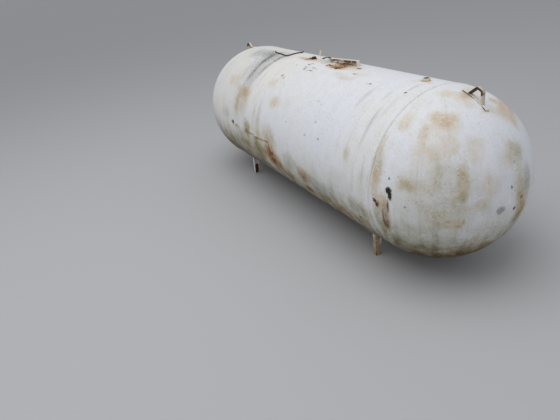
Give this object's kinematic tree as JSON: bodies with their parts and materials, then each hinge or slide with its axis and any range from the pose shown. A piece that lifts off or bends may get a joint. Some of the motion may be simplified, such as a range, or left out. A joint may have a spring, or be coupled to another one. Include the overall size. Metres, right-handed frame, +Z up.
{
  "type": "horizontal pressure tank",
  "caption": "Old white horizontal gas tank with round heads on four short folded legs, with lifting loops and rusty fittings on the crown.",
  "frame": {"origin": "on the ground below the middle of the tank", "axes": "+X along the tank to its right end, +Y to the back, +Z up"},
  "size_m": [3.05, 0.9556, 1.037],
  "materials": {
    "old_white_paint": "chalky white paint with rust runs, grime and chips",
    "stained_paint": "tan-stained paint over rusty plate",
    "rusty_steel": "bare rusty steel, dull"
  },
  "bodies": {
    "root": {"shell": "old_white_paint", "left_head": "old_white_paint", "right_head": "old_white_paint", "left_girth_weld": "old_white_paint", "right_girth_weld": "old_white_paint", "long_seam_weld": "old_white_paint", "leg_left_front": "stained_paint", "leg_left_back": "stained_paint", "leg_right_front": "stained_paint", "leg_right_back": "stained_paint", "pad_left_front": "old_white_paint", "pad_left_back": "old_white_paint", "pad_right_front": "old_white_paint", "pad_right_back": "old_white_paint", "left_lug_strap": "old_white_paint", "right_lug_strap": "old_white_paint", "left_lug_loop": "old_white_paint", "right_lug_loop": "old_white_paint", "centre_coupling": "old_white_paint", "centre_plug": "old_white_paint", "stub_coupling": "rusty_steel", "stub_plug": "rusty_steel", "end_coupling": "old_white_paint", "end_plug": "rusty_steel", "hood_rail": "rusty_steel", "hood_post": "old_white_paint", "hinge_tab": "old_white_paint", "bent_rod": "rusty_steel"}
  },
  "joints": []
}
